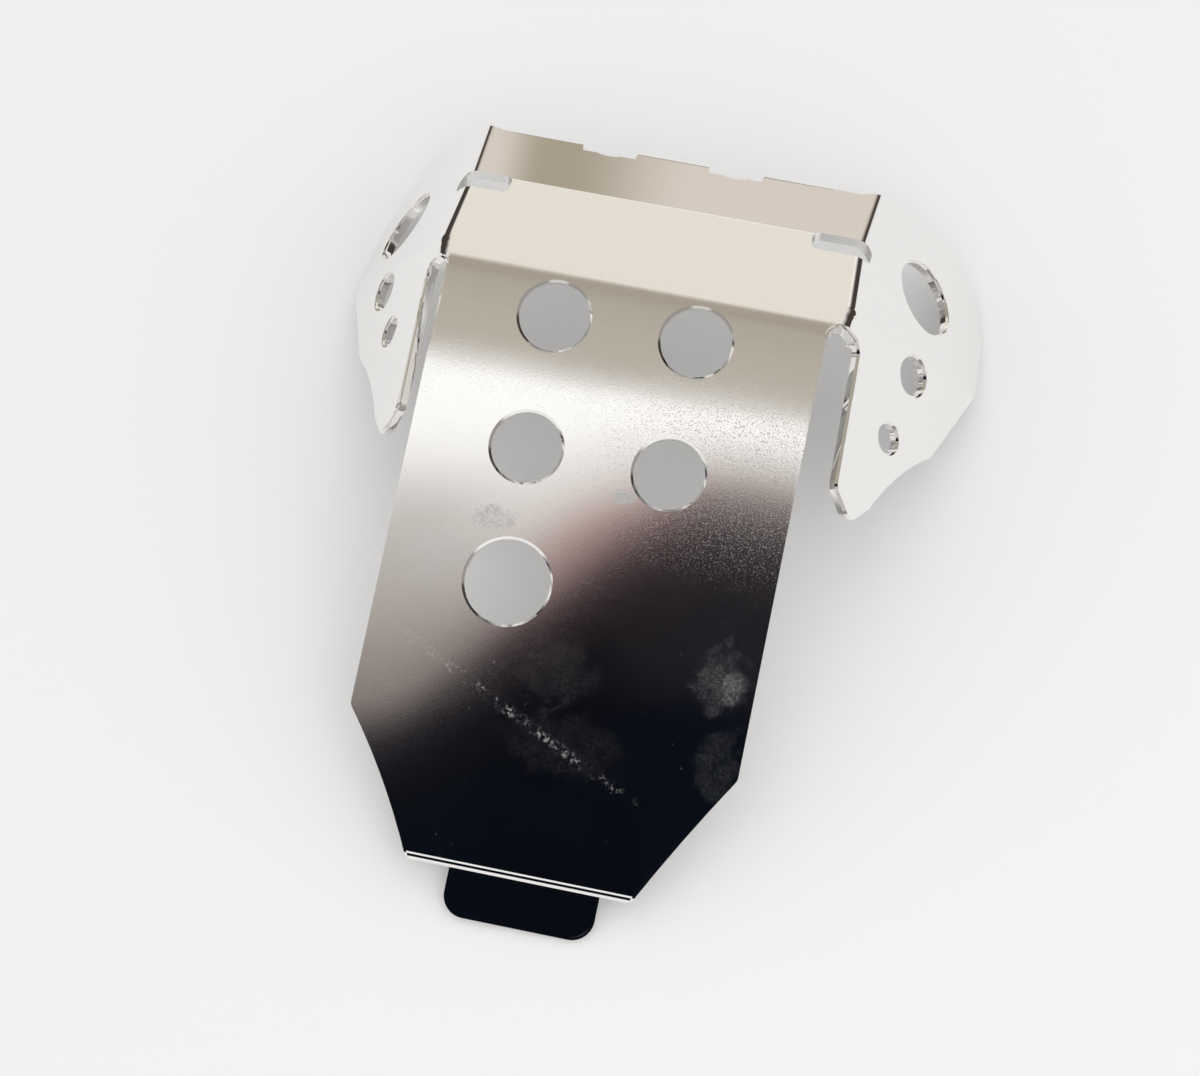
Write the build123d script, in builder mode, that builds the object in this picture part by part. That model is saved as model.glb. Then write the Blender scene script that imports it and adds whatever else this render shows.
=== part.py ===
"""Motorcycle skid plate: one folded aluminium sheet, with a hook tab under its front edge."""
import os
from math import cos, radians, sin, tan

from build123d import *

# Sheet and bends, in millimetres and degrees
sheet = 4.8
fold_radius = 8.0
front_bend_radius = 60.0
ramp_bend_radius = 20.0
flange_bend_radius = 7.0

# Side view: the front plate and the pan meet at the apex, which is the origin while it is shaped
front_angle = 32.5
front_length = 264.5
pan_length = 58.5
ramp_angle = 7.0
ramp_length = 40.4
corner_length = 36.5
flange_angle = 72.0
flange_length = 32.0

# Front plate, measured down the plate from the apex
front_width = 173.0
front_taper_start = 203.5
front_edge_width = 100.0
front_edge_shift = 1.5
taper_sag = 1.6
corner_radius = 5.0

# Lightening holes of the front plate
hole_diameter = 31.75
low_hole_diameter = 38.1
hole_spacing = 64.3
hole_shift = -1.7
first_row = 16.5
row_pitch = 60.5
low_hole_shift = 4.0

# Pan, and the slots that part the wings from the front plate and relieve the rear corners
apex_width = 188.6
rear_width = 182.4
pan_shift = 1.5
slot_end = 5.5
slot_radius = 7.5
relief_width = 11.0
relief_reach = 70.0
relief_setback = 4.0
relief_radius = 3.5
relief_overrun = 5.0

# Rear flange and its bolt holes
flange_width = 150.0
flange_hole_diameter = 28.5
flange_hole_spacing = 59.5
flange_hole_setback = 4.6
flange_hole_depth = 8.0

# Wings: places on the flat blank, along the fold from the apex and out from the fold
right_fold = 49.0
left_fold = 57.5
crease_angle = 16.0
wing_depth = 95.0
crease_foot = 14.5
crease_toe = 41.5
heel_start = 88.5
heel_reach = 117.5
heel_depth = 72.0
hip_reach = 114.5
hip_depth = 46.0
knee_depth = 13.0
toe_reach = -59.5
toe_inner_depth = 33.0
tip_reach = -67.5
tip_depth = 50.0
toe_outer_reach = -51.5
toe_outer_depth = 59.0
hollow_reach = -27.5
hollow_depth = 67.5
spur_reach = -3.5
spur_depth = 83.0
heel_radius = 16.0
hip_radius = 30.0
sole_radius = 36.0
tip_radius = 7.0
knee_radius = 9.0

# Wing holes: diameters, and each wing's own places along the fold and out from it
vent_diameter = 36.0
pass_diameter = 18.0
bolt_diameter = 13.5
right_vent_reach = 67.0
right_vent_depth = 49.0
right_pass_reach = 19.0
right_pass_depth = 51.5
right_bolt_reach = -17.0
right_bolt_depth = 52.0
left_vent_reach = 68.0
left_vent_depth = 63.0
left_pass_reach = 21.5
left_pass_depth = 60.0
left_bolt_reach = -8.0
left_bolt_depth = 50.0

# Hook tab under the front edge
tab_sheet = 4.0
tab_width = 67.0
tab_shift = 4.0
tab_reach = 20.5
tab_overlap = 30.0
tab_radius = 10.0

# Room that the shaping blocks leave round the sheet
margin = 40.0

# Planes of the flat regions, each with its outside as its z direction
front_plane = Plane(
    origin=(0, 0, 0),
    x_dir=(1, 0, 0),
    z_dir=(0, -sin(radians(front_angle)), cos(radians(front_angle))),
)
ramp_plane = Plane(
    origin=(0, pan_length, 0),
    x_dir=(1, 0, 0),
    z_dir=(0, sin(radians(ramp_angle)), cos(radians(ramp_angle))),
)
steep = radians(ramp_angle + flange_angle)
flange_plane = Plane(
    origin=ramp_plane.from_local_coords((0, ramp_length, 0)),
    x_dir=(1, 0, 0),
    z_dir=(0, sin(steep), cos(steep)),
)


def rear_wing_plane(side, fold):
    """Plane of a wing behind its crease; local x runs along the fold and local y out from it."""
    apex = Vector(pan_shift + side * apex_width / 2, 0, 0)
    rear = Vector(pan_shift + side * rear_width / 2, pan_length, 0)
    along = (rear - apex).normalized()
    level = Vector(side * along.Y, -side * along.X, 0)
    outside = level * sin(radians(fold)) + Vector(0, 0, cos(radians(fold)))
    return Plane(origin=apex, x_dir=along * -side, z_dir=outside)


def front_wing_plane(side, fold):
    """The same plane turned about the crease, so that both share the places on the flat blank."""
    rear = rear_wing_plane(side, fold)
    foot = rear.from_local_coords((-side * crease_foot, 0, 0))
    toe = rear.from_local_coords((-side * crease_toe, wing_depth, 0))
    crease = Plane(origin=foot, x_dir=toe - foot, z_dir=rear.z_dir).location
    turn = crease * Location((0, 0, 0), (side * crease_angle, 0, 0)) * crease.inverse()
    return Plane(turn * rear.location)


wing_planes = {
    side: (rear_wing_plane(side, fold), front_wing_plane(side, fold))
    for side, fold in ((1, right_fold), (-1, left_fold))
}

wing_holes = {
    1: (
        (right_vent_reach, right_vent_depth),
        (right_pass_reach, right_pass_depth),
        (right_bolt_reach, right_bolt_depth),
    ),
    -1: (
        (left_vent_reach, left_vent_depth),
        (left_pass_reach, left_pass_depth),
        (left_bolt_reach, left_bolt_depth),
    ),
}


def on_blank(side, along, out):
    """A place on the flat blank of a wing, in the local coordinates of its planes."""
    return (-side * along, out)


ramp_corner = pan_length + corner_length * cos(radians(ramp_angle))
flange_tangent = ramp_length - flange_bend_radius * tan(radians(flange_angle / 2))
flange_start = pan_length + flange_tangent * cos(radians(ramp_angle))
front_end = front_plane.from_local_coords((0, -front_length - margin, 0))
ramp_end = ramp_plane.from_local_coords((0, hip_reach + margin, 0))
form_floor = front_end.Z - margin
form_width = 2 * (apex_width + rear_width - 2 * form_floor)
reach_in = sheet + fold_radius

# Outline of the sheet: a thick slab over each flat region, cut to that region's own outline
with BuildPart() as outline:
    with BuildSketch(Plane.XY.offset(sheet)) as pan_outline:
        with BuildLine():
            edge = front_width / 2
            wide = apex_width / 2 + fold_radius
            corner = flange_width / 2
            Polyline(
                (-edge, -margin),
                (-edge, slot_end),
                (pan_shift - wide, slot_end),
                (pan_shift - wide, ramp_corner),
                (hole_shift - corner, ramp_corner),
                (hole_shift - corner, flange_start),
                (hole_shift + corner, flange_start),
                (hole_shift + corner, ramp_corner),
                (pan_shift + wide, ramp_corner),
                (pan_shift + wide, slot_end),
                (edge, slot_end),
                (edge, -margin),
                close=True,
            )
        make_face()
        slot_corners = pan_outline.vertices().group_by(Axis.Y)[1].sort_by(Axis.X)[1:3]
        slot_wall = wide - abs(pan_shift) - edge
        fillet(slot_corners, min(slot_radius, 0.9 * slot_wall))
    extrude(amount=-sheet - reach_in)
    with BuildSketch(front_plane.offset(sheet)) as front_outline:
        with BuildLine():
            edge = front_width / 2
            low = front_edge_width / 2
            middle = (front_taper_start + front_length) / 2
            half = (edge + low) / 2 - taper_sag
            Polyline(
                (-edge, -front_taper_start),
                (-edge, 0),
                (edge, 0),
                (edge, -front_taper_start),
            )
            ThreePointArc(
                (edge, -front_taper_start),
                (front_edge_shift + half, -middle),
                (front_edge_shift + low, -front_length),
            )
            Line((front_edge_shift + low, -front_length), (front_edge_shift - low, -front_length))
            ThreePointArc(
                (front_edge_shift - low, -front_length),
                (front_edge_shift - half, -middle),
                (-edge, -front_taper_start),
            )
        make_face()
        fillet(front_outline.vertices().group_by(Axis.Y)[1], corner_radius)
    extrude(amount=-sheet - reach_in)
    for side, (rear_plane, toe_plane) in wing_planes.items():
        with BuildSketch(rear_plane.offset(sheet)) as rear_outline:
            with BuildLine():
                heel = on_blank(side, heel_reach, heel_depth)
                hip = on_blank(side, hip_reach, hip_depth)
                sole = on_blank(side, heel_start, wing_depth)
                Polyline(
                    on_blank(side, crease_foot, 0),
                    on_blank(side, crease_toe, wing_depth),
                    sole,
                    heel,
                    hip,
                    on_blank(side, ramp_corner, 0),
                    close=True,
                )
            make_face()
            for place, radius in ((sole, sole_radius), (heel, heel_radius), (hip, hip_radius)):
                fillet(rear_outline.vertices().sort_by_distance(place)[0], radius)
        extrude(amount=-sheet - reach_in)
        with BuildSketch(toe_plane.offset(sheet)) as toe_outline:
            with BuildLine():
                knee = on_blank(side, slot_end, knee_depth)
                toe = on_blank(side, toe_reach, toe_inner_depth)
                tip = on_blank(side, tip_reach, tip_depth)
                spur = on_blank(side, spur_reach, spur_depth)
                outer = on_blank(side, toe_outer_reach, toe_outer_depth)
                Polyline(
                    spur,
                    on_blank(side, crease_toe, wing_depth),
                    on_blank(side, crease_foot, 0),
                    on_blank(side, slot_end, 0),
                    knee,
                    toe,
                    tip,
                    outer,
                )
                ThreePointArc(outer, on_blank(side, hollow_reach, hollow_depth), spur)
            make_face()
            for place, radius in ((knee, knee_radius), (toe, tip_radius), (tip, tip_radius)):
                fillet(toe_outline.vertices().sort_by_distance(place)[0], radius)
        extrude(amount=-sheet - reach_in)

# Folded sheet: the solid form of its outside, its folds rounded, made hollow and cut to the outline
with BuildPart() as plate:
    with BuildSketch(Plane.YZ) as side_view:
        with BuildLine():
            Polyline(
                (front_end.Y, form_floor),
                (front_end.Y, front_end.Z),
                (0, 0),
                (pan_length, 0),
                (ramp_end.Y, ramp_end.Z),
                (ramp_end.Y, form_floor),
                close=True,
            )
        make_face()
        bends = side_view.vertices().sort_by(Axis.Y)[-2:].sort_by(Axis.X)
        fillet(bends[0], front_bend_radius)
        fillet(bends[1], ramp_bend_radius)
    extrude(amount=form_width / 2, both=True)
    for planes in wing_planes.values():
        for wing_plane in planes:
            split(bisect_by=wing_plane, keep=Keep.BOTTOM)
    open_faces = plate.faces().sort_by(Axis.Z)[:1] + plate.faces().filter_by(Axis.Y)
    rim = [edge for face in open_faces for edge in face.edges()]
    folds = [
        edge
        for edge in plate.edges() - plate.edges().filter_by(Axis.X)
        if not any(edge.is_same(other) for other in rim)
    ]
    fillet(folds, fold_radius)
    open_faces = plate.faces().sort_by(Axis.Z)[:1] + plate.faces().filter_by(Axis.Y)
    offset(amount=-sheet, openings=open_faces)
    add(outline.part, mode=Mode.INTERSECT)
    # Rear flange, with two holes cut across its bend
    with BuildSketch(Plane.YZ.offset(hole_shift)):
        with BuildLine():
            lap = ramp_plane.from_local_coords((0, flange_tangent - sheet, 0))
            lip = flange_plane.from_local_coords((0, flange_length, 0))
            FilletPolyline(
                (lap.Y, lap.Z),
                (flange_plane.origin.Y, flange_plane.origin.Z),
                (lip.Y, lip.Z),
                radius=flange_bend_radius,
            )
            offset(amount=sheet, side=Side.RIGHT)
        make_face()
    extrude(amount=flange_width / 2, both=True)
    for face_plane, place in (
        (ramp_plane, ramp_length + flange_hole_setback),
        (flange_plane, flange_hole_setback),
    ):
        with Locations(face_plane):
            with GridLocations(flange_hole_spacing, 1, 2, 1):
                with Locations((hole_shift, place)):
                    Hole(flange_hole_diameter / 2, depth=flange_hole_depth)
    # Lightening holes of the front plate
    for row in range(2):
        with Locations(front_plane):
            with GridLocations(hole_spacing, 1, 2, 1):
                with Locations((hole_shift, -first_row - row * row_pitch)):
                    Hole(hole_diameter / 2, depth=reach_in)
    with Locations(front_plane):
        with Locations((hole_shift - hole_spacing / 2 + low_hole_shift, -first_row - 2 * row_pitch)):
            Hole(low_hole_diameter / 2, depth=reach_in)
    # Wing holes and the relief slots of the rear corners
    for side, (rear_plane, toe_plane) in wing_planes.items():
        vent_place, pass_place, bolt_place = wing_holes[side]
        with Locations(rear_plane):
            with Locations(on_blank(side, *vent_place)):
                Hole(vent_diameter / 2, depth=reach_in)
        with Locations(toe_plane):
            with Locations(on_blank(side, *pass_place)):
                Hole(pass_diameter / 2, depth=reach_in)
            with Locations(on_blank(side, *bolt_place)):
                Hole(bolt_diameter / 2, depth=reach_in)
        with BuildSketch(Plane.XY.offset(sheet)):
            far_end = pan_shift + side * (rear_width / 2 + relief_overrun)
            near_end = side * relief_reach
            with Locations(((near_end + far_end) / 2, pan_length - relief_setback)):
                RectangleRounded(abs(far_end - near_end), relief_width, relief_radius)
        extrude(amount=-sheet - 2 * fold_radius, mode=Mode.SUBTRACT)

# Hook tab, flat against the inside of the front plate and past its edge
with BuildPart() as tab:
    with BuildSketch(front_plane.offset(-sheet)) as tab_outline:
        with Locations((tab_shift, -front_length - tab_reach)):
            Rectangle(tab_width, tab_reach + tab_overlap, align=(Align.CENTER, Align.MIN))
        fillet(tab_outline.vertices().group_by(Axis.Y)[0], tab_radius)
    extrude(amount=-tab_sheet)

# At rest it stands on the heels of its wings and the right-hand corner of its tab
feet = [
    rear_plane.from_local_coords((*on_blank(side, heel_start, wing_depth), -sheet))
    for side, (rear_plane, toe_plane) in wing_planes.items()
]
tab_corner = tab_shift + tab_width / 2 - tab_radius
tab_end = front_plane.from_local_coords((tab_corner, -front_length - tab_reach, -sheet - tab_sheet))
floor = Plane(origin=tab_end, x_dir=feet[0] - feet[1], z_dir=(feet[0] - tab_end).cross(feet[1] - tab_end))
for piece in (plate, tab):
    piece.part.move(floor.location.inverse())
box = plate.part.bounding_box().add(tab.part.bounding_box())
for piece in (plate, tab):
    piece.part.move(Location((-box.center().X, -box.center().Y, -box.min.Z)))

os.makedirs("parts", exist_ok=True)
plate.part.label = "skid_plate"
export_step(plate.part, "parts/skid_plate.step")
tab.part.label = "front_tab"
export_step(tab.part, "parts/front_tab.step")
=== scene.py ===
"""Polished skid plate and its hook tab, laid on a pale studio floor."""

import math

import bmesh
import bpy
import numpy as np
from bpy.props import FloatProperty, FloatVectorProperty, PointerProperty
from bpy.types import Operator, Panel, PropertyGroup
from mathutils import Matrix, Vector


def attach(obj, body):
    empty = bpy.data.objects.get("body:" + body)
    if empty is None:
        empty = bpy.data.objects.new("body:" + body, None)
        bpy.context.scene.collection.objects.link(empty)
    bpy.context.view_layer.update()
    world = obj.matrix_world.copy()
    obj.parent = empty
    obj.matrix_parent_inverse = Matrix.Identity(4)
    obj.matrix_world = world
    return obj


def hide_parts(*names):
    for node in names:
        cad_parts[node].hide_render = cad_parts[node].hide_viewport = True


bl_info = {
    "name": "Polished skid plate",
    "version": (1, 0, 0),
    "blender": (4, 5, 0),
    "location": "View3D > Sidebar > Skid plate",
    "description": "Finishes a folded aluminium skid plate and sets up a pale studio around it",
    "category": "Object",
}

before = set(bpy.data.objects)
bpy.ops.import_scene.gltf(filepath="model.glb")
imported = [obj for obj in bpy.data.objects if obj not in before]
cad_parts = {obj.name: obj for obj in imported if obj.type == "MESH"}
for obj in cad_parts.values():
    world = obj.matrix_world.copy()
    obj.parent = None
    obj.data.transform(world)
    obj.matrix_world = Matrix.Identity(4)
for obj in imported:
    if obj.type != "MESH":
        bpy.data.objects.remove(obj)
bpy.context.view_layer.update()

# The front plate's own directions: its apex, across it, down it and out of it, in metres
APEX = Vector((-0.005136, 0.082869, 0.098828))
ACROSS = Vector((0.999617, -0.008840, -0.026205))
DOWN = Vector((-0.016641, -0.948990, -0.314903))
OUT = Vector((0.022085, -0.315218, 0.948762))

# Cleaning of the meshes: points nearer than the first are one point, faces that meet within the
# second are one flat face, and edges shorter than the third are taken out
WELD_DISTANCE = 2e-6
FLAT_ANGLE = math.radians(0.2)
SLIVER_LENGTH = 1.5e-4
# Faces meet along a cut edge at more than the first angle, and are shaded apart past the second
CUT_ANGLE = math.radians(35)
SHARP_ANGLE = math.radians(30)
# How far a point may lie off the front plate's face, or short of its end, and still count as on it
FACE_TOLERANCE = 5e-5
END_TOLERANCE = 2e-4
# A face of the underside points at least this far against OUT
UNDERSIDE = -0.4

# Regions of the sheet, by distances across and down from the apex, in metres: the flange with its
# relief slots, the inner ends of the wings' slots, and the front plate's five holes
REAR_DOWN, REAR_HALF_WIDTH = -0.034, 0.100
SLOT_END_DOWN, SLOT_END_ACROSS = (-0.010, 0.008), (0.0855, 0.097)
HOLES_DOWN, HOLES_HALF_WIDTH = (-0.002, 0.165), 0.060

# What is added to the polish's roughness: by haze, by pits, by pits of the frosted patch, by scuffs
HAZE_ROUGHNESS = 0.012
PIT_ROUGHNESS = 0.03
FROSTED_ROUGHNESS = 0.085
SCUFF_ROUGHNESS = 0.45
# Heights of the grain and of the scuffs, in metres
GRAIN_HEIGHT = 1.2e-6
SCUFF_HEIGHT = 1e-6

# Wear of the front plate, by distances across and down from the apex, in metres
FROSTED_MIDDLE, FROSTED_REACH = (0.068, 0.072), (0.090, 0.062)
SCUFF_START, SCUFF_END = (-0.0744, 0.1658), (0.0450, 0.2225)
# The share of the metal that the scuff covers and that stray specks cover, and how far noise warps
# the outline of a smudge
SCUFF_SHARE, SPECK_SHARE = 0.29, 0.16
OUTLINE_WARP = 2.4
# Each smudge's middle, its half-axes and the share of the metal that it covers
SMUDGES = (
    ((-0.0430, 0.1110), (0.015, 0.008), 0.40),
    ((0.0125, 0.0905), (0.006, 0.004), 0.60),
    ((0.0704, 0.1620), (0.014, 0.019), 0.09),
    ((0.0760, 0.1640), (0.005, 0.011), 0.11),
    ((0.0775, 0.2000), (0.014, 0.020), 0.035),
    ((0.0005, 0.1710), (0.020, 0.018), 0.025),
    ((-0.0620, 0.1330), (0.018, 0.016), 0.16),
    ((0.0080, 0.2030), (0.030, 0.016), 0.018),
)

# The backdrop's tones, from the horizon behind the plate at 0, over the top at 0.5, to the lamp
BACKDROP_TONES = (
    (0.00, (0.10, 0.085, 0.07)),
    (0.03, (0.16, 0.14, 0.12)),
    (0.05, (0.55, 0.50, 0.44)),
    (0.085, (0.66, 0.60, 0.54)),
    (0.096, (0.60, 0.55, 0.49)),
    (0.106, (0.90, 0.87, 0.82)),
    (0.139, (0.92, 0.89, 0.84)),
    (0.156, (0.76, 0.72, 0.65)),
    (0.291, (0.76, 0.71, 0.64)),
    (0.311, (0.37, 0.33, 0.275)),
    (0.35, (0.36, 0.32, 0.265)),
    (0.405, (0.41, 0.375, 0.31)),
    (0.5400, (0.44, 0.405, 0.345)),
    (0.5414, (1.00, 1.00, 1.00)),
)
# The tones past the lamp: its full light at 0, the line of dusk at 0.5, the dark end at 1
LAMP_TONES = (
    (0.00, (1.00, 1.00, 1.00)),
    (0.08, (0.96, 0.955, 0.95)),
    (0.15, (0.85, 0.84, 0.83)),
    (0.225, (0.73, 0.70, 0.68)),
    (0.30, (0.60, 0.57, 0.545)),
    (0.375, (0.46, 0.42, 0.395)),
    (0.45, (0.30, 0.262, 0.247)),
    (0.50, (0.21, 0.175, 0.168)),
    (0.5375, (0.110, 0.093, 0.094)),
    (0.575, (0.050, 0.041, 0.044)),
    (0.625, (0.021, 0.018, 0.022)),
    (0.675, (0.0095, 0.0095, 0.0125)),
    (0.725, (0.0045, 0.005, 0.0075)),
    (0.8125, (0.0028, 0.0038, 0.0068)),
    (1.00, (0.0020, 0.0034, 0.0070)),
)
# Turns from the horizon behind, in degrees: where the lamp starts, where dusk falls on the right
# and how much later on the left, and how long it takes to get dark
LAMP_EDGE = 97.5
DUSK, LATER_DUSK, NIGHTFALL = 98.8, 4.6, 4.0
# Other tones of the studio: a patch of the backdrop, parts of the lamp's light, the walls, the foot
# of the side walls in front and behind, and the ground that the camera sees past the floor
SHADED_TONE = (0.38, 0.33, 0.255)
ROSY_TINT = (1.0, 0.82, 0.82)
GRAY_TONE = (0.28, 0.255, 0.23)
RIGHT_GLOW = (0.010, 0.008, 0.0085)
FRONT_WALL = (0.60, 0.59, 0.58)
SIDE_WALL = (0.72, 0.70, 0.67)
FOOT_IN_FRONT = (0.30, 0.28, 0.265)
FOOT_BEHIND = (0.055, 0.042, 0.036)
PALE_GROUND = (0.92, 0.915, 0.91)
STUDIO_STRENGTH = 1.12


class Value:
    """A shader socket that takes part in Python arithmetic."""

    def __init__(self, graph, socket):
        self.graph = graph
        self.socket = socket

    def math(self, operation, *others):
        """A Math node with this value first and the others after it."""
        inputs = dict(enumerate((self, *others)))
        return self.graph.node("ShaderNodeMath", {"operation": operation}, inputs)

    def __add__(self, other):
        return self.math("ADD", other)

    __radd__ = __add__

    def __sub__(self, other):
        return self.math("SUBTRACT", other)

    def __rsub__(self, other):
        return (self * -1.0) + other

    def __mul__(self, other):
        return self.math("MULTIPLY", other)

    __rmul__ = __mul__

    def __truediv__(self, other):
        return self.math("DIVIDE", other)

    def __pow__(self, other):
        return self.math("POWER", other)

    def __abs__(self):
        return self.math("ABSOLUTE")

    def clamp(self):
        """The value held between 0 and 1."""
        return self.math("MINIMUM", 1.0).math("MAXIMUM", 0.0)

    def step(self, low, high):
        """A smooth rise from 0 at low to 1 at high; it falls where high is below low."""
        settings = {"interpolation_type": "SMOOTHSTEP"}
        inputs = {0: self, 1: min(low, high), 2: max(low, high)}
        rise = self.graph.node("ShaderNodeMapRange", settings, inputs)
        return rise if low <= high else 1.0 - rise

    def dot(self, direction):
        """The component of this vector along a fixed direction."""
        settings = {"operation": "DOT_PRODUCT"}
        inputs = {0: self, 1: tuple(direction)}
        return self.graph.node("ShaderNodeVectorMath", settings, inputs, "Value")


class Graph:
    """A node tree, with one method that adds any node."""

    def __init__(self, tree):
        self.tree = tree
        tree.nodes.clear()

    def node(self, kind, settings=None, inputs=None, output=0):
        """Adds a node: its settings come first, then the values or links of its sockets."""
        made = self.tree.nodes.new(kind)
        for name, value in (settings or {}).items():
            if name == "stops":
                self.set_stops(made.color_ramp, value)
            else:
                setattr(made, name, value)
        for name, value in (inputs or {}).items():
            if isinstance(value, Value):
                self.tree.links.new(value.socket, made.inputs[name])
            else:
                made.inputs[name].default_value = value
        return Value(self, made.outputs[output]) if made.outputs else made

    def set_stops(self, ramp, stops):
        """Places a colour ramp's stops, given as (place, colour)."""
        while len(ramp.elements) < len(stops):
            ramp.elements.new(1.0)
        for element, (place, color) in zip(ramp.elements, stops):
            element.position = place
            element.color = (*color, 1.0)

    def ramp(self, value, stops):
        """A colour that follows a value from 0 to 1."""
        return self.node("ShaderNodeValToRGB", {"stops": stops}, {0: value})

    def mix(self, share, first, second, blend="MIX"):
        """A colour between two others, or their blend; plain colours are tuples of three."""
        ends = [c if isinstance(c, Value) else (*c, 1.0) for c in (first, second)]
        settings = {"data_type": "RGBA", "blend_type": blend}
        return self.node("ShaderNodeMix", settings, {0: share, 6: ends[0], 7: ends[1]}, 2)

    def noise(self, place, scale, detail=2.0, roughness=0.5):
        """Noise from 0 to 1 about a point, with its scale in waves per metre."""
        inputs = {"Vector": place, "Scale": scale, "Detail": detail, "Roughness": roughness}
        return self.node("ShaderNodeTexNoise", None, inputs)


class SheetFinish(PropertyGroup):
    """The polished sheet: its metal, its grain and its wear."""

    metal: FloatVectorProperty(
        name="Metal", description="Colour of the polished metal",
        subtype="COLOR", size=3, min=0.0, max=1.0, default=(0.92, 0.91, 0.895),
    )
    scuffed: FloatVectorProperty(
        name="Scuffed metal", description="Colour of scuffs and smudges",
        subtype="COLOR", size=3, min=0.0, max=1.0, default=(0.60, 0.63, 0.70),
    )
    gloss_roughness: FloatProperty(
        name="Polish roughness", description="Roughness of clean polished metal",
        subtype="FACTOR", default=0.028, min=0.0, max=1.0,
    )
    edge_rounding: FloatProperty(
        name="Edge rounding", description="Width taken off the sheet's cut edges and hole rims",
        unit="LENGTH", precision=4, default=0.0011, min=0.0, max=0.003,
    )
    tab_rounding: FloatProperty(
        name="Tab rounding", description="Width taken off the tab's cut edges",
        unit="LENGTH", precision=4, default=0.0013, min=0.0, max=0.003,
    )
    front_chamfer: FloatProperty(
        name="Front chamfer", description="Width taken off the top of the front edge",
        unit="LENGTH", precision=4, default=0.0019, min=0.0, max=0.003,
    )
    grain_size: FloatProperty(
        name="Grain size", description="Width of the fine grain left by polishing",
        unit="LENGTH", precision=4, default=0.0010, min=0.0001, max=0.01,
    )
    ripple_height: FloatProperty(
        name="Ripple height", description="Height of the slow ripples of the flat sheet",
        unit="LENGTH", precision=5, default=0.00005, min=0.0, max=0.001,
    )


class StudioSettings(PropertyGroup):
    """The floor, the light and the camera."""

    floor_color: FloatVectorProperty(
        name="Floor", description="Colour of the floor",
        subtype="COLOR", size=3, min=0.0, max=1.0, default=(0.93, 0.925, 0.92),
    )
    floor_width: FloatProperty(
        name="Floor width", description="Side of the square floor",
        unit="LENGTH", default=12.0, min=1.0,
    )
    sky_level: FloatProperty(
        name="Soft light", description="Strength of the light from all round",
        default=0.80, min=0.0,
    )
    lamp_power: FloatProperty(
        name="Lamp", description="Power of the large soft lamp",
        subtype="POWER", unit="POWER", default=4.5, min=0.0,
    )
    lamp_width: FloatProperty(
        name="Lamp width", description="Side of the square lamp",
        unit="LENGTH", default=1.2, min=0.0,
    )
    lamp_place: FloatVectorProperty(
        name="Lamp place", description="Place of the lamp, which faces the origin",
        subtype="TRANSLATION", unit="LENGTH", size=3, default=(0.9, -1.0, 1.6),
    )
    camera_place: FloatVectorProperty(
        name="Camera", description="Place of the camera",
        subtype="TRANSLATION", unit="LENGTH", size=3, default=(0.180169, -0.675657, 1.355463),
    )
    camera_target: FloatVectorProperty(
        name="Target", description="Point in the middle of the picture",
        subtype="TRANSLATION", unit="LENGTH", size=3, default=(-0.003327, -0.012364, 0.044211),
    )
    camera_roll: FloatProperty(
        name="Roll", description="Turn of the camera about its own axis",
        subtype="ANGLE", unit="ROTATION", default=math.radians(-4.006),
    )
    camera_lens: FloatProperty(
        name="Lens", description="Focal length in millimetres for a sensor 36 mm wide",
        default=99.708, min=1.0,
    )


def front_edge(work):
    """The upper edges of the sheet's front end: the lines on the front plate's face that lie
    furthest down it."""
    on_face = [v for v in work.verts if abs((v.co - APEX).dot(OUT)) < FACE_TOLERANCE]
    end = max((v.co - APEX).dot(DOWN) for v in on_face)
    at_end = {v for v in on_face if (v.co - APEX).dot(DOWN) > end - END_TOLERANCE}
    return [e for e in work.edges if e.verts[0] in at_end and e.verts[1] in at_end]


def on_sheet(edge):
    """How far an edge's middle lies from the apex: to either side, and down the front plate."""
    middle = (edge.verts[0].co + edge.verts[1].co) / 2 - APEX
    return abs(middle.dot(ACROSS)), middle.dot(DOWN)


def left_sharp(edge):
    """Whether an edge keeps its corner: on the rear flange, on the relief slots beside it, or on
    the underside of the inner end of a wing's slot."""
    aside, down = on_sheet(edge)
    at_rear = down < REAR_DOWN and aside < REAR_HALF_WIDTH
    at_slot_end = (
        SLOT_END_DOWN[0] < down < SLOT_END_DOWN[1]
        and SLOT_END_ACROSS[0] < aside < SLOT_END_ACROSS[1]
    )
    below = any(face.normal.dot(OUT) < UNDERSIDE for face in edge.link_faces)
    return at_rear or (at_slot_end and below)


def in_front_holes(edge):
    """Whether an edge belongs to one of the front plate's five holes."""
    aside, down = on_sheet(edge)
    return HOLES_DOWN[0] < down < HOLES_DOWN[1] and aside < HOLES_HALF_WIDTH


def ease_cut_edges(work, easing):
    """Takes a given width off the cut edges: a flat chamfer on the front holes' rims, which come
    first, and a rounding of two faces on the others."""
    for rims, segments in ((True, 1), (False, 2)):
        cut = [e for e in work.edges if e.calc_face_angle(0.0) > CUT_ANGLE and not left_sharp(e)]
        bmesh.ops.bevel(
            work,
            geom=[e for e in cut if in_front_holes(e) == rims],
            offset=easing,
            segments=segments,
            affect="EDGES",
            loop_slide=False,
            clamp_overlap=False,
        )


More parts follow.
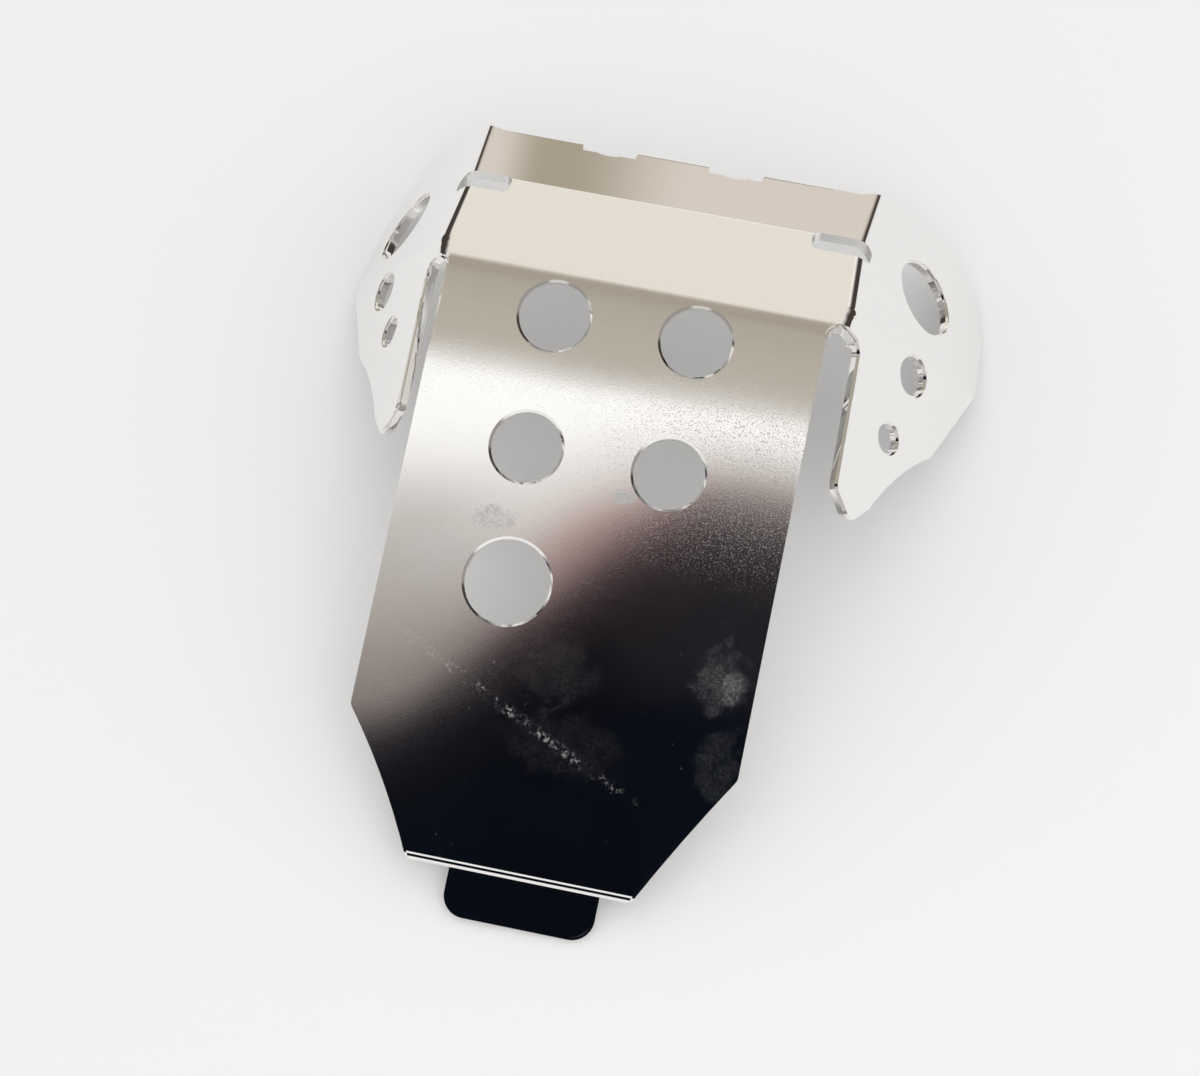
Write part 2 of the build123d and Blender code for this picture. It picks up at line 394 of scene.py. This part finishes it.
def welded_copy(node, name, easing, chamfer):
    """A copy of a CAD node's mesh: doubled points joined, flat triangles merged, its front edge
    chamfered by one width and its cut edges eased by another."""
    source = node.data
    places = np.empty(len(source.vertices) * 3)
    source.vertices.foreach_get("co", places)
    source.calc_loop_triangles()
    corners = np.empty(len(source.loop_triangles) * 3, np.int32)
    source.loop_triangles.foreach_get("vertices", corners)
    mesh = bpy.data.meshes.new(name)
    mesh.from_pydata(places.reshape(-1, 3), [], corners.reshape(-1, 3).tolist())
    work = bmesh.new()
    work.from_mesh(mesh)
    bmesh.ops.remove_doubles(work, verts=work.verts, dist=WELD_DISTANCE)
    bmesh.ops.dissolve_limit(work, angle_limit=FLAT_ANGLE, verts=work.verts, edges=work.edges)
    bmesh.ops.dissolve_degenerate(work, dist=SLIVER_LENGTH, edges=work.edges)
    if chamfer:
        bmesh.ops.bevel(work, geom=front_edge(work), offset=chamfer, segments=1, affect="EDGES")
    ease_cut_edges(work, easing)
    work.to_mesh(mesh)
    work.free()
    mesh.shade_smooth()
    mesh.set_sharp_from_angle(angle=SHARP_ANGLE)
    return mesh


def finished_sheet(node_name, name, easing, chamfer):
    """The CAD node's own shape with its cut edges eased, which stands for that node."""
    mesh = welded_copy(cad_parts[node_name], name, easing, chamfer)
    piece = bpy.data.objects.new(name, mesh)
    bpy.context.scene.collection.objects.link(piece)
    flatness = piece.modifiers.new("Flat faces stay flat", "WEIGHTED_NORMAL")
    flatness.keep_sharp = True
    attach(piece, "root")
    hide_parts(node_name)
    return piece


def ellipse(across, down, middle, reach):
    """The square of the distance from an ellipse's middle, with 1 on its outline."""
    return ((across - middle[0]) / reach[0]) ** 2.0 + ((down - middle[1]) / reach[1]) ** 2.0


def polished_metal(name, finish, marks):
    """Polished aluminium: slow clouds of tone and haze, fine pits that are rougher in the frosted
    patch, grain and slow ripples in relief, and scuffs, which are rough and less metallic.
    marks(graph, across, down, place) gives the share of each point that is scuffed."""
    material = bpy.data.materials.new(name)
    material.use_nodes = True
    graph = Graph(material.node_tree)
    place = graph.node("ShaderNodeTexCoord", None, None, "Object")
    across = place.dot(ACROSS) - APEX.dot(ACROSS)
    down = place.dot(DOWN) - APEX.dot(DOWN)
    height = place.dot(OUT) - APEX.dot(OUT)
    on_front = abs(height).step(0.003, 0.002) * down.step(0.02, 0.03)
    worn = (marks(graph, across, down, place) * on_front).clamp()
    cloud = graph.noise(place, 24.0, 4.0, 0.6)
    grain = graph.noise(place, 1.0 / finish.grain_size, 2.0, 0.6)
    ripple = graph.noise(place, 14.0, 1.0, 0.4)
    haze = cloud.step(0.52, 0.75) * HAZE_ROUGHNESS
    pits = graph.noise(place, 1.7 / finish.grain_size, 1.0, 0.5).step(0.50, 0.70)
    frosted = ellipse(across, down, FROSTED_MIDDLE, FROSTED_REACH).step(1.0, 0.0) * on_front
    tone = graph.mix(cloud * 0.25, finish.metal[:], tuple(c * 0.95 for c in finish.metal))
    color = graph.mix((worn + pits * 0.15).clamp(), tone, finish.scuffed[:])
    pitted = pits * (frosted * FROSTED_ROUGHNESS + PIT_ROUGHNESS)
    roughness = finish.gloss_roughness + haze + pitted + worn * SCUFF_ROUGHNESS
    metallic = 1.0 - worn * 0.75
    relief = grain * GRAIN_HEIGHT + ripple * finish.ripple_height + worn * SCUFF_HEIGHT
    bump = graph.node("ShaderNodeBump", None, {"Height": relief, "Distance": 1.0, "Strength": 1.0})
    inputs = {"Base Color": color, "Roughness": roughness, "Metallic": metallic, "Normal": bump}
    shader = graph.node("ShaderNodeBsdfPrincipled", None, inputs)
    graph.node("ShaderNodeOutputMaterial", None, {"Surface": shader})
    return material


def plate_marks(graph, across, down, place):
    """The front plate's wear: one long scuff, a band along a line that noise breaks into flakes,
    a few stray specks, and smudges, ellipses whose outlines are warped by noise."""
    from_x, from_y = SCUFF_START
    length = math.dist(SCUFF_START, SCUFF_END)
    along_x, along_y = (SCUFF_END[0] - from_x) / length, (SCUFF_END[1] - from_y) / length
    along = (across - from_x) * along_x + (down - from_y) * along_y
    beside = abs((down - from_y) * along_x - (across - from_x) * along_y)
    flakes = graph.noise(place, 620.0, 3.0, 0.7)
    patches = graph.noise(place, 130.0, 2.0, 0.6)
    streaks = graph.noise(place, 700.0, 4.0, 0.65)
    within = along.step(-0.002, 0.004) * along.step(length + 0.003, length - 0.006)
    scuff = beside.step(0.0034, 0.0004) * within
    scuff = scuff * flakes.step(0.50, 0.62) * patches.step(0.36, 0.60)
    total = scuff * SCUFF_SHARE + flakes.step(0.69, 0.75) * SPECK_SHARE
    for middle, reach, amount in SMUDGES:
        far = ellipse(across, down, middle, reach) + (patches - 0.5) * OUTLINE_WARP
        total = total + far.step(1.0, 0.0) * (streaks.step(0.30, 0.75) * 0.8 + 0.2) * amount
    return total


def tab_marks(graph, across, down, place):
    """The tab's wear: a faint even bloom, with no mark that stands out."""
    return graph.noise(place, 60.0, 3.0, 0.6).step(0.55, 0.8) * 0.08


class SKIDPLATE_OT_sheet(Operator):
    """Makes the folded sheet: eased cut edges, polished metal, scuffs on the front plate"""

    bl_idname = "skidplate.sheet"
    bl_label = "Folded sheet"

    def execute(self, context):
        finish = context.scene.skid_finish
        easing, chamfer = finish.edge_rounding, finish.front_chamfer
        sheet = finished_sheet("skid_plate", "folded_sheet", easing, chamfer)
        sheet.data.materials.append(polished_metal("Polished sheet", finish, plate_marks))
        return {"FINISHED"}


class SKIDPLATE_OT_tab(Operator):
    """Makes the hook tab under the front edge"""

    bl_idname = "skidplate.tab"
    bl_label = "Hook tab"

    def execute(self, context):
        finish = context.scene.skid_finish
        tab = finished_sheet("front_tab", "hook_tab", finish.tab_rounding, 0.0)
        tab.data.materials.append(polished_metal("Polished tab", finish, tab_marks))
        return {"FINISHED"}


def studio_floor(studio):
    """A square floor at height 0, as a grid of two points by two."""
    half = studio.floor_width / 2
    u, v = np.meshgrid((-half, half), (-half, half))
    places = np.stack((u.ravel(), v.ravel(), np.zeros(4)), axis=1)
    mesh = bpy.data.meshes.new("studio_floor")
    mesh.from_pydata(places, [], [(0, 1, 3, 2)])
    floor = bpy.data.objects.new("studio_floor", mesh)
    bpy.context.scene.collection.objects.link(floor)
    material = bpy.data.materials.new("Pale floor")
    material.use_nodes = True
    graph = Graph(material.node_tree)
    color = (*studio.floor_color, 1.0)
    inputs = {"Base Color": color, "Roughness": 1.0, "Specular IOR Level": 0.0}
    shader = graph.node("ShaderNodeBsdfPrincipled", None, inputs)
    graph.node("ShaderNodeOutputMaterial", None, {"Surface": shader})
    mesh.materials.append(material)


def studio_sky(studio):
    """Plain pale light from all round; polished metal sees a studio with a backdrop, a lamp and a
    dark end. Its tones follow turn, the angle from the horizon behind, over the top and on to the
    front, and side, which is -1 on the left and 1 on the right."""
    world = bpy.data.worlds.new("Studio")
    bpy.context.scene.world = world
    world.use_nodes = True
    graph = Graph(world.node_tree)
    toward = graph.node("ShaderNodeTexCoord", None, None, "Generated")
    side, rear, level = (toward.dot(axis) for axis in ((1, 0, 0), (0, 1, 0), (0, 0, 1)))
    turn = level.math("ARCTAN2", rear) * (180.0 / math.pi)
    # The backdrop, with a darker patch low down on the left
    shaded = side.step(-0.08, -0.12) * side.step(-0.142, -0.127) * turn.step(24.0, 18.0)
    behind = graph.mix(shaded, graph.ramp(turn / 180.0, BACKDROP_TONES), SHADED_TONE)
    # The lamp's light, which fades past the line of dusk, with rosy, gray and glowing parts
    dusk = side.step(-0.04, -0.15) * LATER_DUSK + DUSK
    lit = ((turn - LAMP_EDGE) / (dusk - LAMP_EDGE)).clamp()
    unlit = ((turn - dusk) / NIGHTFALL).clamp()
    ahead = graph.ramp(lit * 0.5 + unlit * 0.5, LAMP_TONES)
    rosy = side.step(-0.115, -0.085) * side.step(-0.042, -0.062) * lit.step(0.45, 0.85)
    ahead = graph.mix(rosy, ahead, ROSY_TINT, "MULTIPLY")
    gray_end = side.step(-0.10, -0.135) * lit.step(0.2, 0.5) * unlit.step(0.3, 0.0)
    ahead = graph.mix(gray_end * 0.4, ahead, GRAY_TONE)
    right_end = side.step(-0.085, -0.055) * turn.step(103.0, 101.6)
    ahead = graph.mix(right_end, ahead, RIGHT_GLOW, "ADD")
    # The front wall beyond the dark end, and the side walls, which are darker low down
    ahead = graph.mix(turn.step(109.0, 126.0), ahead, FRONT_WALL)
    overhead = graph.mix(turn.step(LAMP_EDGE - 0.15, LAMP_EDGE), behind, ahead)
    foot = graph.mix(rear.step(0.22, 0.40), FOOT_IN_FRONT, FOOT_BEHIND)
    low = level.step(0.70, 0.45) * level.step(-0.02, 0.04)
    room = graph.mix(low, SIDE_WALL, foot)
    seen = graph.mix(abs(side).step(0.28, 0.48), overhead, room)
    # Metal sees the studio, the camera a pale ground, and everything else the soft light
    glossy = graph.node("ShaderNodeLightPath", None, None, "Is Glossy Ray")
    camera = graph.node("ShaderNodeLightPath", None, None, "Is Camera Ray")
    plain = graph.mix(camera, (studio.sky_level,) * 3, PALE_GROUND)
    inputs = {"Color": graph.mix(glossy, plain, seen), "Strength": STUDIO_STRENGTH}
    shader = graph.node("ShaderNodeBackground", None, inputs)
    graph.node("ShaderNodeOutputWorld", None, {"Surface": shader})


def studio_lamp(studio):
    """A large soft lamp up on the right in front, for a soft shadow under the plate."""
    data = bpy.data.lights.new("Soft lamp", "AREA")
    data.energy = studio.lamp_power
    data.size = studio.lamp_width
    lamp = bpy.data.objects.new("soft_lamp", data)
    place = Vector(studio.lamp_place)
    turn = (-place).to_track_quat("-Z", "Y").to_matrix().to_4x4()
    lamp.matrix_world = Matrix.Translation(place) @ turn
    lamp.visible_glossy = False
    bpy.context.scene.collection.objects.link(lamp)


def studio_camera(studio):
    """The camera: it looks from its place to its target, and is then rolled about that line."""
    place, target = Vector(studio.camera_place), Vector(studio.camera_target)
    ahead = (target - place).normalized()
    level = ahead.cross(Vector((0, 0, 1))).normalized()
    upright = level.cross(ahead)
    right = level * math.cos(studio.camera_roll) + upright * math.sin(studio.camera_roll)
    up = right.cross(ahead)
    turn = Matrix((right, up, -ahead)).transposed().to_4x4()
    data = bpy.data.cameras.new("Camera")
    data.sensor_fit = "HORIZONTAL"
    data.sensor_width = 36.0
    data.lens = studio.camera_lens
    camera = bpy.data.objects.new("camera", data)
    camera.matrix_world = Matrix.Translation(place) @ turn
    bpy.context.scene.collection.objects.link(camera)
    bpy.context.scene.camera = camera


class SKIDPLATE_OT_studio(Operator):
    """Sets up the pale floor, the soft light and the camera"""

    bl_idname = "skidplate.studio"
    bl_label = "Studio"

    def execute(self, context):
        studio = context.scene.skid_studio
        studio_floor(studio)
        studio_sky(studio)
        studio_lamp(studio)
        studio_camera(studio)
        context.scene.view_settings.view_transform = "Standard"
        return {"FINISHED"}


class SKIDPLATE_PT_panel(Panel):
    """The pieces of the skid plate and its studio"""

    bl_idname = "SKIDPLATE_PT_panel"
    bl_label = "Skid plate"
    bl_space_type = "VIEW_3D"
    bl_region_type = "UI"
    bl_category = "Skid plate"

    def draw(self, context):
        column = self.layout.column()
        for operator in (SKIDPLATE_OT_sheet, SKIDPLATE_OT_tab, SKIDPLATE_OT_studio):
            column.operator(operator.bl_idname)
        for settings in (context.scene.skid_finish, context.scene.skid_studio):
            for name in settings.__annotations__:
                column.prop(settings, name)


CLASSES = (
    SheetFinish,
    StudioSettings,
    SKIDPLATE_OT_sheet,
    SKIDPLATE_OT_tab,
    SKIDPLATE_OT_studio,
    SKIDPLATE_PT_panel,
)


def register():
    for cls in CLASSES:
        bpy.utils.register_class(cls)
    bpy.types.Scene.skid_finish = PointerProperty(type=SheetFinish)
    bpy.types.Scene.skid_studio = PointerProperty(type=StudioSettings)


def unregister():
    del bpy.types.Scene.skid_studio
    del bpy.types.Scene.skid_finish
    for cls in reversed(CLASSES):
        bpy.utils.unregister_class(cls)


def main():
    register()
    bpy.ops.skidplate.sheet()
    bpy.ops.skidplate.tab()
    bpy.ops.skidplate.studio()


if __name__ == "__main__":
    main()
